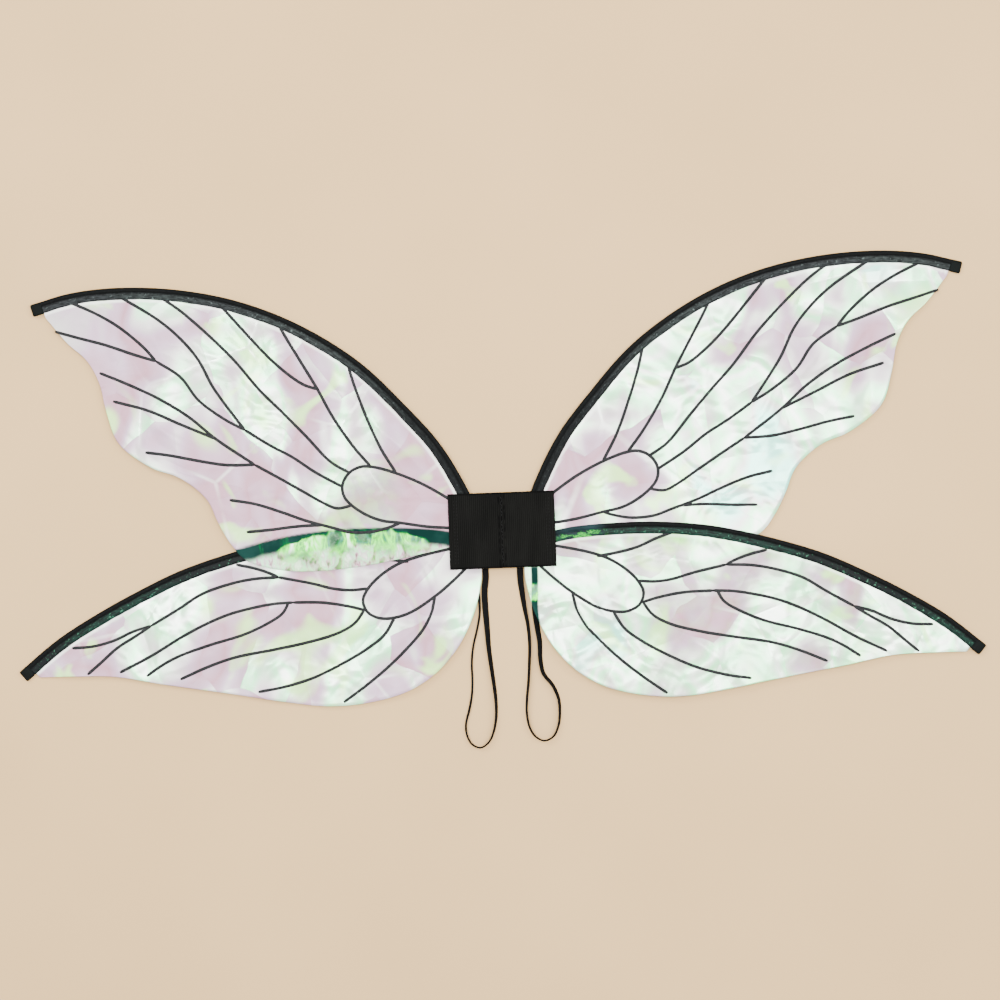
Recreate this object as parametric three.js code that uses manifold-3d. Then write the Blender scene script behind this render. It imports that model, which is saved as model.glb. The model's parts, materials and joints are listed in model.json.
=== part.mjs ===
// Fairy wings, lying flat, face up: four wired film wings, a folded webbing panel and two elastic arm loops.
// Millimetres, +Z up, +X towards the right wings, +Y towards the upper wings.
// Everything is drawn from the panel's centre and mirrored for the left, then moved so that the origin is on
// the centre seam, at the middle of the wings' height, on the surface they lie on.
import * as THREE from "three";
import { mergeVertices } from "three/addons/utils/BufferGeometryUtils.js";
import Module from "manifold-3d";

const wasm = await Module();
wasm.setup();

// ---- driving dimensions ----
const CLEAR = 0.3; // gap between neighbouring pieces
const MERGE = 1e-3; // points closer than this are one point

const PANEL_HALF_WIDTH = 50;
const PANEL_HEIGHT = 71;
const WEBBING = 1; // thickness of each webbing layer
const PANEL_INNER_X = 4; // where each panel half starts
const SEAM_TAPE_WIDTH = 5;

const WIRE_R = 1;
const WIRE_BORE_R = WIRE_R + CLEAR; // inside of the binding's tube
const TUBE_WALL = 0.3;
const TUBE_R = WIRE_BORE_R + TUBE_WALL; // outside of the binding's tube
const HEM_REACH = 9.5; // from the wire's centre to the free edge of the hem
const HEM_HALF = 0.8; // half the hem's thickness
const SLOT_HALF = 0.45; // half the slot that the film sits in
const SLOT_REACH = 2.2; // from the wire's centre to the bottom of the slot
const FILM = 0.3;
const FILM_FROM_WIRE = SLOT_REACH + CLEAR;
const FILM_BEFORE_BINDING = 18; // how far the film reaches past the binding's root end
const FILM_TO_CAP = 2;

const EYE_R = 3; // centre line of the ring bent into each wire's root end
const TACK_R = 1.5;
const CAP_LENGTH = 9;
const CAP_WIDTH = 11.2;
const CAP_DEPTH = 6; // how far the wire goes into its cap
const BORE_OVERRUN = 1; // how far the cap's bore is cut past its open end

const STRAP_WIDTH = 6;
const STRAP = 0.8;
const SEWN_HIGH = 27; // top of each loop's longer sewn end, from the panel's centre
const SEWN_LOW = -12; // top of its shorter one

// Heights, from the surface up.
const STRAP_Z = WEBBING + CLEAR; // sewn strap ends lie on the back layer
const LOWER_LEVEL = STRAP_Z + STRAP + CLEAR + TUBE_R; // wire centre of the wing that lies beneath
const LEVEL_GAP = 0.4;
const LEVEL_STEP = 2 * TUBE_R + LEVEL_GAP;
const UPPER_LEVEL = LOWER_LEVEL + LEVEL_STEP;
const FRONT_Z = UPPER_LEVEL + TUBE_R + CLEAR;
const DROP = { under: LOWER_LEVEL - TUBE_R, over: 4.4 }; // how far a wing comes down from root to tip

const ORIGIN_Y = 43.9; // the middle of the wings, above the panel's centre

const SPAR_STEPS = 34;
const FILM_SPAR_STEPS = 24;
const FILM_EDGE_STEPS = 56;
const TUBE_SIDES = 8;

// ---- wing outlines, right side, from the panel's centre ----
// spar: the wire's centre line from its root eye to its tip. trailing: the film's free edge from tip to root.
// root: the film's corners between the webbing layers. bindingStart: where the binding begins along the spar.
const UPPER = {
  spar: [
    [20, 5], [30, 34], [56, 83], [87, 121], [130, 165.5], [186, 203],
    [242, 226.7], [298, 239.3], [354.5, 243.2], [400, 239.5], [437, 230],
  ],
  trailing: [
    [424, 220], [404, 195], [386, 178], [374.5, 156], [369, 130], [358, 99], [329, 76],
    [306, 67], [289, 56], [275, 41], [267, 22], [255, 0], [239, -17], [205, -27],
    [165, -29], [125, -26], [85, -20],
  ],
  root: [[46, -13], [40, 6]],
  bindingStart: 31,
};
const LOWER = {
  spar: [
    [26, -11], [52, -2.8], [78, 0.6], [115, 2.4], [150, 2], [193, -2.2], [225, -8.7],
    [261, -18.2], [300, -31.1], [338, -48.5], [377, -69], [415, -92.5], [450, -121],
  ],
  trailing: [
    [433, -125.5], [400, -125.5], [362, -127], [320, -135], [288, -140.5], [250, -147],
    [206, -155], [170, -160], [140, -159.5], [110, -154.5], [86, -146], [64, -131.5],
    [47, -113], [35, -93], [26, -71], [20.5, -46],
  ],
  root: [[20, -29], [36, -16]],
  bindingStart: 20,
};

// How each wing lies. The wires are springy, so each rests a little turned, drawn out or bowed.
// turn: degrees, tip up. reach: share of the designed length. bow: millimetres outwards at mid span.
const LIE = {
  upper_left: { turn: -0.3, reach: 0.99, bow: -2.4 },
  upper_right: { turn: 0.3, reach: 1.01, bow: 2.4 },
  lower_left: { turn: 0.6, reach: 1.012, bow: 0 },
  lower_right: { turn: -0.6, reach: 1, bow: 0 },
};

// ---- arm loops: each runs out of the panel's lower edge and back into it, lying on the surface ----
const LEFT_LOOP = [
  [-17, -45], [-18.5, -56], [-18.5, -70], [-17.5, -90], [-16.5, -110], [-14.5, -130], [-12.5, -148],
  [-11.5, -162], [-12, -176], [-15.5, -191], [-20, -199], [-27.5, -203.5], [-35.5, -200], [-40, -191],
  [-40.5, -181], [-37, -168], [-34, -154], [-33, -140], [-33, -124], [-31, -108], [-27, -93],
  [-24, -78], [-24, -62], [-26, -50],
];
const RIGHT_LOOP = [
  [15.5, -47], [16.5, -58], [18.5, -74], [21, -90], [22, -108], [21, -126], [19.5, -144], [17.5, -160],
  [17, -174], [19.5, -187], [25, -195.5], [33, -199], [41, -195.5], [46, -186], [48, -173], [47, -159],
  [42, -147], [34, -136], [31.5, -122], [31.5, -107], [29.5, -91], [28, -75], [28.5, -60], [29, -47],
];
const LOOP_STEPS = 60;
const DROP_POINTS = 2; // a loop reaches the surface within this many of its points

// ---- materials ----
const webbing = new THREE.MeshStandardMaterial({ color: 0x161616, roughness: 0.95, metalness: 0 });
const bindingTape = new THREE.MeshStandardMaterial({ color: 0x121413, roughness: 0.6, metalness: 0 });
const steel = new THREE.MeshStandardMaterial({ color: 0x8d8f92, roughness: 0.35, metalness: 1 });
const vinyl = new THREE.MeshStandardMaterial({ color: 0x101010, roughness: 0.45, metalness: 0 });
const thread = new THREE.MeshStandardMaterial({ color: 0x1c1c1c, roughness: 0.9, metalness: 0 });
const elastic = new THREE.MeshStandardMaterial({ color: 0x0e0e0e, roughness: 0.85, metalness: 0 });
const film = new THREE.MeshStandardMaterial({
  color: 0xe6e2ec, roughness: 0.15, metalness: 0, transparent: true, opacity: 0.6,
});

// ---- solids ----
function toSolid(geometry) {
  const bare = geometry.clone();
  bare.deleteAttribute("normal");
  bare.deleteAttribute("uv");
  const merged = mergeVertices(bare, MERGE);
  return new wasm.Manifold(
    new wasm.Mesh({
      numProp: 3,
      vertProperties: merged.attributes.position.array,
      triVerts: new Uint32Array(merged.index.array),
    }),
  );
}

function toGeometry(solid) {
  const mesh = solid.getMesh();
  const geometry = new THREE.BufferGeometry();
  geometry.setAttribute("position", new THREE.BufferAttribute(mesh.vertProperties, 3));
  geometry.setIndex(new THREE.BufferAttribute(mesh.triVerts, 1));
  return geometry;
}

function named(name, geometry, material) {
  const mesh = new THREE.Mesh(geometry, material);
  mesh.name = name;
  return mesh;
}

function slab(x0, x1, y0, y1, z0, z1) {
  const geometry = new THREE.BoxGeometry(x1 - x0, y1 - y0, z1 - z0);
  return geometry.translate((x0 + x1) / 2, (y0 + y1) / 2, (z0 + z1) / 2);
}

const flatCurve = (points) => new THREE.CatmullRomCurve3(points.map(([x, y]) => new THREE.Vector3(x, y, 0)));

// The stretch of a curve from `start` mm to `end` mm along it, as a curve of its own.
function stretchOf(curve, start, end) {
  const length = curve.getLength();
  const points = Array.from({ length: SPAR_STEPS + 1 }, (_, i) =>
    curve.getPointAt((start + ((end - start) * i) / SPAR_STEPS) / length),
  );
  return new THREE.CatmullRomCurve3(points);
}

// A section's points, where -y is the side of the film and x is the thickness.
function bindingSection() {
  const shape = new THREE.Shape();
  const join = Math.asin(HEM_HALF / TUBE_R);
  shape.absarc(0, 0, TUBE_R, -Math.PI / 2 + join, (3 * Math.PI) / 2 - join, false);
  shape.lineTo(-HEM_HALF, -HEM_REACH);
  shape.lineTo(-SLOT_HALF, -HEM_REACH);
  shape.lineTo(-SLOT_HALF, -SLOT_REACH);
  shape.lineTo(SLOT_HALF, -SLOT_REACH);
  shape.lineTo(SLOT_HALF, -HEM_REACH);
  shape.lineTo(HEM_HALF, -HEM_REACH);
  shape.closePath();
  const bore = new THREE.Path();
  bore.absarc(0, 0, WIRE_BORE_R, 0, 2 * Math.PI, false);
  shape.holes.push(bore);
  return shape;
}

function roundSection(radius) {
  const shape = new THREE.Shape();
  shape.absarc(0, 0, radius, 0, 2 * Math.PI, false);
  return shape;
}

function flatSection(width, thickness) {
  const shape = new THREE.Shape();
  const corner = thickness / 4;
  const x = thickness / 2;
  const y = width / 2;
  shape.moveTo(-x, -y + corner);
  shape.lineTo(-x + corner, -y);
  shape.lineTo(x - corner, -y);
  shape.lineTo(x, -y + corner);
  shape.lineTo(x, y - corner);
  shape.lineTo(x - corner, y);
  shape.lineTo(-x + corner, y);
  shape.lineTo(-x, y - corner);
  return shape;
}

function sweep(section, path, steps, sides) {
  const options = { steps, curveSegments: sides / 2, bevelEnabled: false, extrudePath: path };
  return new THREE.ExtrudeGeometry(section, options);
}

// ---- one wing ----
// The wire: a rod along the spar with a ring at its root. The wing swings about the ring's centre.
function wire(curve, eye) {
  const rod = toSolid(sweep(roundSection(WIRE_R), curve, SPAR_STEPS, TUBE_SIDES));
  const ring = new THREE.TorusGeometry(EYE_R, WIRE_R, TUBE_SIDES, 2 * TUBE_SIDES).translate(eye.x, eye.y, 0);
  return toGeometry(rod.add(toSolid(ring)));
}

// The film: a thin sheet that follows the wire, FILM_FROM_WIRE inside it, then its own free edge.
function filmSheet(wing, curve, length) {
  const start = wing.bindingStart - FILM_BEFORE_BINDING;
  const end = length - CAP_LENGTH - FILM_TO_CAP;
  const leading = Array.from({ length: FILM_SPAR_STEPS + 1 }, (_, i) => {
    const u = (start + ((end - start) * i) / FILM_SPAR_STEPS) / length;
    const p = curve.getPointAt(u);
    const t = curve.getTangentAt(u);
    return new THREE.Vector2(p.x + t.y * FILM_FROM_WIRE, p.y - t.x * FILM_FROM_WIRE);
  });
  const edge = new THREE.SplineCurve(wing.trailing.map(([x, y]) => new THREE.Vector2(x, y)));
  const free = edge.getSpacedPoints(FILM_EDGE_STEPS);
  const root = wing.root.map(([x, y]) => new THREE.Vector2(x, y));
  const geometry = new THREE.ExtrudeGeometry(new THREE.Shape([...leading, ...free, ...root]), {
    depth: FILM,
    bevelEnabled: false,
  });
  return geometry.translate(0, 0, -FILM / 2);
}

// The cap: a soft block over the wire's end, bored from its root side.
function tipCap(curve) {
  const length = curve.getLength();
  const along = curve.getTangentAt(1);
  const inward = new THREE.Vector3(along.y, -along.x, 0);
  const block = new THREE.ExtrudeGeometry(flatSection(CAP_WIDTH, 2 * TUBE_R), {
    depth: CAP_LENGTH,
    bevelEnabled: false,
  });
  block.translate(0, -(CAP_WIDTH / 2 - TUBE_R), 0);
  const bore = new THREE.CylinderGeometry(WIRE_BORE_R, WIRE_BORE_R, CAP_DEPTH + BORE_OVERRUN, 2 * TUBE_SIDES);
  bore.rotateX(Math.PI / 2).translate(0, 0, (CAP_DEPTH - BORE_OVERRUN) / 2);
  const frame = new THREE.Matrix4().makeBasis(new THREE.Vector3(0, 0, -1), inward.clone().negate(), along);
  frame.setPosition(curve.getPointAt(1 - CAP_LENGTH / length));
  const solid = toSolid(block).subtract(toSolid(bore));
  return toGeometry(solid).applyMatrix4(frame);
}

const rootEye = (spar) => spar.getPointAt(0).addScaledVector(spar.getTangentAt(0), -EYE_R);

// A wing's outline as it lies: drawn out along its chord, bowed away from it and turned about the root eye.
function asItLies(design, { turn, reach, bow }) {
  const eye = rootEye(flatCurve(design.spar));
  const [tipX, tipY] = design.spar[design.spar.length - 1];
  const chord = new THREE.Vector3(tipX, tipY, 0).sub(eye);
  const along = chord.clone().normalize();
  const out = new THREE.Vector3(-along.y, along.x, 0);
  const up = new THREE.Vector3(0, 0, 1);
  const lay = ([x, y]) => {
    const from = new THREE.Vector3(x, y, 0).sub(eye);
    const share = THREE.MathUtils.clamp(from.dot(along) / chord.length(), 0, 1);
    const laid = along.clone().multiplyScalar(from.dot(along) * reach);
    laid.addScaledVector(out, from.dot(out) + bow * Math.sin(Math.PI * share));
    laid.applyAxisAngle(up, THREE.MathUtils.degToRad(turn)).add(eye);
    return [laid.x, laid.y];
  };
  return {
    spar: design.spar.map(lay),
    trailing: design.trailing.map(lay),
    root: design.root.map(lay),
    bindingStart: design.bindingStart,
  };
}

// A wing as a group that tilts about its root eye, so that its tip comes down by `drop`.
function wingGroup(side, which, design, level, drop) {
  const name = which + "_" + side;
  const wing = asItLies(design, LIE[name]);
  const spar = flatCurve(wing.spar);
  const length = spar.getLength();
  const eye = rootEye(spar);
  const wireCurve = stretchOf(spar, 0, length - CAP_LENGTH + CAP_DEPTH - CLEAR);
  const bindingCurve = stretchOf(spar, wing.bindingStart, length - CAP_LENGTH - CLEAR);

  const group = new THREE.Group();
  group.add(named("wire_" + name, wire(wireCurve, eye), steel));
  const binding = sweep(bindingSection(), bindingCurve, SPAR_STEPS, TUBE_SIDES);
  group.add(named("binding_" + name, binding, bindingTape));
  group.add(named("film_" + name, filmSheet(wing, spar, length), film));
  group.add(named("tip_cap_" + name, tipCap(spar), vinyl));
  group.children.forEach((mesh) => mesh.geometry.translate(-eye.x, -eye.y, 0));

  const reach = spar.getPointAt(1).sub(eye);
  const direction = reach.clone().normalize();
  const tiltAxis = new THREE.Vector3(-direction.y, direction.x, 0);
  group.quaternion.setFromAxisAngle(tiltAxis, Math.asin(drop / reach.length()));
  group.position.set(eye.x, eye.y, level);
  return { group, eye };
}

// ---- one side: its panel half, its two wings and the tacks that hold their root eyes ----
function sideGroup(side, upperIsOver) {
  const group = new THREE.Group();
  const top = PANEL_HEIGHT / 2;
  const half = (z) => slab(PANEL_INNER_X, PANEL_HALF_WIDTH, -top, top, z, z + WEBBING);
  group.add(named("panel_back_" + side, half(0), webbing));
  group.add(named("panel_front_" + side, half(FRONT_Z), webbing));
  const levels = {
    upper: upperIsOver ? [UPPER_LEVEL, DROP.over] : [LOWER_LEVEL, DROP.under],
    lower: upperIsOver ? [LOWER_LEVEL, DROP.under] : [UPPER_LEVEL, DROP.over],
  };
  for (const [which, design] of [["upper", UPPER], ["lower", LOWER]]) {
    const made = wingGroup(side, which, design, ...levels[which]);
    group.add(made.group);
    const low = STRAP_Z + STRAP + CLEAR;
    const high = FRONT_Z - CLEAR;
    const tack = new THREE.CylinderGeometry(TACK_R, TACK_R, high - low, 2 * TUBE_SIDES);
    tack.rotateX(Math.PI / 2).translate(made.eye.x, made.eye.y, (low + high) / 2);
    group.add(named("root_tack_" + which + "_" + side, tack, thread));
  }
  if (side === "left") group.scale.x = -1;
  return group;
}

// ---- arm loops ----
// A loop drops from the sewn ends' height to the surface near each of its ends.
function armLoop(name, points) {
  const high = STRAP_Z + STRAP / 2;
  const low = STRAP / 2;
  const heights = (i) => {
    const fromEnd = Math.min(i, points.length - 1 - i);
    return low + (high - low) * Math.max(0, 1 - fromEnd / DROP_POINTS) ** 2;
  };
  const lowerEdge = -PANEL_HEIGHT / 2 - CLEAR;
  const ends = [points[0][0], points[points.length - 1][0]];
  const route = [
    new THREE.Vector3(ends[0], lowerEdge, high),
    ...points.map(([x, y], i) => new THREE.Vector3(x, y, heights(i))),
    new THREE.Vector3(ends[1], lowerEdge, high),
  ];
  const path = new THREE.CatmullRomCurve3(route);
  return named(name, sweep(flatSection(STRAP_WIDTH, STRAP), path, LOOP_STEPS, TUBE_SIDES), elastic);
}

// The sewn ends: two flat lengths of the same elastic, lying on the back layer.
function sewnEnds(side, loop, reaches) {
  return [loop[0][0], loop[loop.length - 1][0]].map((x, i) => {
    const geometry = slab(
      x - STRAP_WIDTH / 2, x + STRAP_WIDTH / 2, -PANEL_HEIGHT / 2, reaches[i], STRAP_Z, STRAP_Z + STRAP,
    );
    return named("strap_end_" + side + "_" + (i + 1), geometry, elastic);
  });
}

// ---- the whole object ----
const fairyWings = new THREE.Group();
fairyWings.add(
  named(
    "centre_seam_tape",
    slab(-SEAM_TAPE_WIDTH / 2, SEAM_TAPE_WIDTH / 2, -PANEL_HEIGHT / 2, PANEL_HEIGHT / 2, 0, WEBBING),
    webbing,
  ),
);
fairyWings.add(sideGroup("left", true));
fairyWings.add(sideGroup("right", false));
fairyWings.add(armLoop("arm_loop_left", LEFT_LOOP), armLoop("arm_loop_right", RIGHT_LOOP));
fairyWings.add(...sewnEnds("left", LEFT_LOOP, [SEWN_HIGH, SEWN_LOW]));
fairyWings.add(...sewnEnds("right", RIGHT_LOOP, [SEWN_LOW, SEWN_HIGH]));
fairyWings.position.y = -ORIGIN_Y;

export default fairyWings;
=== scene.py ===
"""The looks of a pair of fairy wings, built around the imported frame.

Metres, in the frame's own axes: +Z up from the surface that the wings lie on, +X to the right wings, +Y to the
upper wings. Distances that are easier to read in millimetres are multiplied by MM.
"""
import json
import math

import bmesh
import bpy
import numpy as np
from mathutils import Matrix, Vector, noise


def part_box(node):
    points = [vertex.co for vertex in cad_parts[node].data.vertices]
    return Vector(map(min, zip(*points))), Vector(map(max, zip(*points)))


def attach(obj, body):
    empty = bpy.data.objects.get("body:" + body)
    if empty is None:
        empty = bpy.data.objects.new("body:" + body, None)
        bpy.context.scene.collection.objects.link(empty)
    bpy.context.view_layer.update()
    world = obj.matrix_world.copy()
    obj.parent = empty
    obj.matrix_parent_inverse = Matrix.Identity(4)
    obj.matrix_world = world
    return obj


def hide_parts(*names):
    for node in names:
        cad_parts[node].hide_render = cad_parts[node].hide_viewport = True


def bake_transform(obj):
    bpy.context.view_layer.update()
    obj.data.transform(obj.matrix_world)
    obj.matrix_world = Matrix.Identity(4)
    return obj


MM = 0.001
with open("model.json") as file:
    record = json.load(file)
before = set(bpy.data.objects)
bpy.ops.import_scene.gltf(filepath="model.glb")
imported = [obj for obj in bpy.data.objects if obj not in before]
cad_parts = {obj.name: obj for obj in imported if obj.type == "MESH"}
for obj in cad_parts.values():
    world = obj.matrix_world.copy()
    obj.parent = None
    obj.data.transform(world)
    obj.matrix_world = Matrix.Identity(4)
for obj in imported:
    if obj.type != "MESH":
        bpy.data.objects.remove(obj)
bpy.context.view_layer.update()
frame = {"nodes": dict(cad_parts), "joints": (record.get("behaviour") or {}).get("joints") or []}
SIGN = {"left": -1, "right": 1}

# ---- driving dimensions ----
PANEL_CENTRE = np.array([0.0, np.mean(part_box("centre_seam_tape"), axis=0)[1]])
(_, PANEL_BOTTOM, FRONT_LOW), (PANEL_HALF_WIDTH, PANEL_TOP, FRONT_HIGH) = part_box("panel_front_right")
BACK_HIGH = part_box("panel_back_right")[1].z

FILM_FROM_WIRE = 2.5 * MM
FILM_THICKNESS = 0.25 * MM
FINE_GRID, COARSE_GRID = (100, 250), (54, 150)  # points across and along a film, fine where colours are painted
FOLD_HEIGHT, DIMPLE_HEIGHT, SWELL_HEIGHT = 1.1, 0.9, 2.4  # of the film's ripples, in millimetres
STACKED_LOSS = 0.88  # share of the ripples lost where wings lie over each other
OUTLINE_CORNER = math.radians(35)
SPAR_PAST_FILM = 5 * MM
SPAR_STEPS = 420
SPAR_HIDDEN_STEPS = 8  # bare of tape, under the panel
TUBE_HALF_WIDTH = 2.3 * MM
TUBE_HALF_HEIGHT = 1.6 * MM
TUBE_SIDES = 16
HEM_REACH = 9.5 * MM
HEM_HALF_HEIGHT = 0.7 * MM
SLEEVE_HALF_WIDTH = 5.8 * MM
SLEEVE_HALF_LENGTH = 5.4 * MM
SLEEVE_HALF_HEIGHT = 1.75 * MM
SLEEVE_RINGS, SLEEVE_SIDES = 19, 28
BEAD_SIDES, BEAD_RINGS = 6, 5
HEM_STITCH_STEP = 3.4 * MM
HEM_STITCH_LENGTH = 2.3 * MM
HEM_STITCH_RADIUS = 0.28 * MM
HEM_STITCH_REACH = 3.6 * MM  # from the wire towards the film
HEM_STITCH_RISE = 0.95 * MM  # above the wing's plane
VEIN_WIDTH = 3.0 * MM
VEIN_HALF_HEIGHT = 0.4 * MM
VEIN_STEP = 2.5 * MM
STRAP_WIDTH = 6 * MM
STRAP_THICKNESS = 0.9 * MM
WEBBING_GRID = (190, 60)
RIB_PITCH = 1.55 * MM
RIB_HEIGHT = 0.05 * MM
PANEL_STITCH_ROWS = (5.5 * MM, 8 * MM)  # in from the panel's side
PANEL_STITCH_STEP = 3.2 * MM
PANEL_STITCH_LENGTH = 2.1 * MM
PANEL_STITCH_RADIUS = 0.22 * MM
SEAM_POINTS = 21
SEAM_BREAKS = (6, 13)
SEAM_HALF_WIDTH = 0.9 * MM
SEAM_RADIUS = 0.32 * MM

VIEW_WIDTH = 940 * MM  # what the camera's frame spans on the surface
CAMERA_LENS = 100.0
CAMERA_SENSOR = 36.0
CAMERA_ROLL = math.radians(-2.1)
CAMERA_AIM = (-0.9 * MM, -15.6 * MM)
LIGHTS = {  # place in metres, size in metres, watts
    "overhead": ((0.0, 0.05, 2.1), (1.9, 0.7), 125),
    "key": ((-1.3, 1.5, 1.9), (1.0, 1.0), 75),
    "fill": ((1.6, 0.5, 1.7), (1.0, 1.0), 42),
}
WORLD_STRENGTH = 1.1
FLOOR_HALF_SIDE = 8.0
FLOOR_DROP = 0.2 * MM

# ---- wings: how each lies, and its printed veins, in millimetres from the panel's centre, right side ----
TIP = {"upper": (437, 230), "lower": (450, -121)}
LIE = {  # turn in degrees, reach as a share, bow in millimetres
    "upper_left": (-0.3, 0.99, -2.4),
    "upper_right": (0.3, 1.01, 2.4),
    "lower_left": (0.6, 1.012, 0.0),
    "lower_right": (-0.6, 1.0, 0.0),
}
VEINS = {
    "upper": [
        [(44, 29), (72, 47), (97, 59), (118, 66), (130, 67), (141, 62), (148, 51), (147, 40), (140, 31), (126, 21),
         (112, 15), (95, 12), (70, 7), (44, 4)],
        [(97, 59), (111, 84), (125, 119), (134, 146), (140, 170)],
        [(121, 67), (136, 86), (155, 116), (168, 142), (182, 167), (195, 190), (204, 207)],
        [(168, 142), (181, 147), (196, 158), (212, 173), (229, 192), (258, 226)],
        [(141, 62), (158, 73), (181, 99), (203, 123), (222, 143), (246, 173), (271, 199), (295, 221), (314, 235)],
        [(148, 49), (173, 64), (195, 80), (214, 91), (238, 107)],
        [(238, 107), (251, 125), (267, 149), (280, 175), (296, 195), (316, 213), (353, 237)],
        [(238, 107), (257, 118), (281, 137), (297, 159), (320, 175)],
        [(320, 175), (331, 188), (354, 208), (375, 221), (400, 233)],
        [(320, 175), (341, 182), (368, 192), (392, 199), (415, 206)],
        [(140, 31), (154, 29), (167, 35), (183, 45), (202, 57), (230, 74)],
        [(230, 74), (266, 100), (290, 121), (319, 140), (349, 155), (374, 166)],
        [(266, 100), (299, 115), (329, 129), (362, 139)],
        [(230, 74), (257, 75), (283, 80), (309, 86), (333, 90)],
        [(95, 12), (107, 8), (123, 5), (143, 6), (159, 11), (184, 19), (206, 28), (231, 37), (255, 42)],
        [(168, 14), (191, 14), (218, 12), (240, 11)],
    ],
    "lower": [
        [(44, -15), (64, -19), (81, -23), (98, -29), (114, -39), (126, -51), (131, -62), (127, -73), (116, -79),
         (102, -79), (86, -74), (64, -60), (48, -47), (30, -30)],
        [(126, -51), (143, -52), (159, -50), (177, -45), (209, -38)],
        [(209, -38), (217, -34), (231, -29), (248, -25)],
        [(209, -38), (232, -39), (254, -43), (281, -52), (302, -65), (328, -80)],
        [(328, -80), (345, -85), (363, -93), (383, -98), (402, -99)],
        [(328, -80), (342, -89), (360, -100), (375, -113), (388, -124)],
        [(130, -71), (145, -67), (168, -63), (196, -62)],
        [(196, -62), (215, -63), (233, -66), (254, -71), (275, -79), (299, -91), (328, -108), (358, -123)],
        [(200, -62), (206, -72), (220, -81), (243, -91), (275, -100), (302, -109), (318, -117), (333, -127)],
        [(130, -71), (139, -83), (155, -92), (184, -100), (216, -106), (251, -112), (276, -120), (302, -131)],
        [(102, -79), (112, -95), (129, -108), (152, -121), (178, -133), (206, -141), (230, -145)],
        [(64, -60), (68, -76), (76, -91), (90, -107), (110, -126), (130, -142), (151, -157)],
        [(88, -27), (107, -24), (127, -19), (143, -12), (160, -6)],
    ],
}

WING_SEED = {"upper_left": 3.1, "upper_right": 7.7, "lower_left": 12.3, "lower_right": 18.9}
# How much each wing's film leans from pink (negative) to mint (positive).
TONE = {"upper_left": -0.030, "upper_right": 0.066, "lower_left": 0.008, "lower_right": 0.034}

# ---- arm loops: the same routes as the CAD's, in millimetres from the panel's centre ----
LOOPS = {
    "left": [
        (-17, -45), (-18.5, -56), (-18.5, -70), (-17.5, -90), (-16.5, -110), (-14.5, -130), (-12.5, -148),
        (-11.5, -162), (-12, -176), (-15.5, -191), (-20, -199), (-27.5, -203.5), (-35.5, -200), (-40, -191),
        (-40.5, -181), (-37, -168), (-34, -154), (-33, -140), (-33, -124), (-31, -108), (-27, -93),
        (-24, -78), (-24, -62), (-26, -50),
    ],
    "right": [
        (15.5, -47), (16.5, -58), (18.5, -74), (21, -90), (22, -108), (21, -126), (19.5, -144), (17.5, -160),
        (17, -174), (19.5, -187), (25, -195.5), (33, -199), (41, -195.5), (46, -186), (48, -173), (47, -159),
        (42, -147), (34, -136), (31.5, -122), (31.5, -107), (29.5, -91), (28, -75), (28.5, -60), (29, -47),
    ],
}
# By share of each loop's length: how many degrees its elastic has turned onto its edge, and where it is rolled into
# a narrow cord instead, from 0 flat to 1 rolled.
LOOP_TWIST = {
    "left": [(0, 0), (0.10, 10), (0.20, 45), (0.34, 62), (0.46, 76), (0.60, 76), (0.66, 0), (1, 0)],
    "right": [(0, 0), (0.07, 35), (0.14, 58), (0.30, 70), (0.5, 76), (0.68, 60), (0.82, 38), (1, 0)],
}
LOOP_ROLL = {
    "left": [(0, 0), (0.46, 0), (0.59, 1), (0.90, 1), (0.97, 0.4), (1, 0)],
    "right": [(0, 0), (1, 0)],
}
ROLLED_HALF_WIDTH = 1.0 * MM
ROLLED_HALF_THICKNESS = 0.9 * MM
LOOP_STEPS, LOOP_SIDES = 240, 20
LOOP_GAP = 0.3 * MM  # between the panel's edge and the first ring
SMOOTHING_STEPS = 25


# ---- lines ----
def smooth(value, low, high):
    """0 below low, 1 above high, and an S-curve between them."""
    t = np.clip((value - low) / (high - low), 0, 1)
    return t * t * (3 - 2 * t)


def bell(value, middle, width):
    """1 at the middle, falling to 0 on both sides."""
    return np.exp(-(((value - middle) / width) ** 2))


def steps_of(line):
    return np.linalg.norm(np.diff(line, axis=0), axis=1)


def spaced(points, count):
    """The same line as count points at equal distances along it."""
    points = np.asarray(points, float)
    along = np.concatenate([[0], np.cumsum(steps_of(points))])
    at = np.linspace(0, along[-1], count)
    return np.stack([np.interp(at, along, points[:, k]) for k in range(points.shape[1])], axis=1)


def through(points, steps=12):
    """A centripetal Catmull-Rom curve through the points."""
    p = np.asarray(points, float)
    p = np.vstack([2 * p[0] - p[1], p, 2 * p[-1] - p[-2]])
    made = []
    for a, b, c, d in zip(p, p[1:], p[2:], p[3:]):
        t1 = np.linalg.norm(b - a) ** 0.5
        t2 = t1 + np.linalg.norm(c - b) ** 0.5
        t3 = t2 + np.linalg.norm(d - c) ** 0.5
        for t in np.linspace(t1, t2, steps, endpoint=False):
            ab = ((t1 - t) * a + t * b) / t1
            bc = ((t2 - t) * b + (t - t1) * c) / (t2 - t1)
            cd = ((t3 - t) * c + (t - t2) * d) / (t3 - t2)
            abc = ((t2 - t) * ab + t * bc) / t2
            bcd = ((t3 - t) * bc + (t - t1) * cd) / (t3 - t1)
            made.append(((t2 - t) * abc + (t - t1) * bcd) / (t2 - t1))
    made.append(p[-2])
    return np.array(made)


def softened(values):
    """The values with their corners rounded off, each an average of its neighbours."""
    kernel = np.hanning(SMOOTHING_STEPS) / np.hanning(SMOOTHING_STEPS).sum()
    return np.convolve(np.pad(values, SMOOTHING_STEPS // 2, mode="edge"), kernel, mode="valid")


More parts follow.
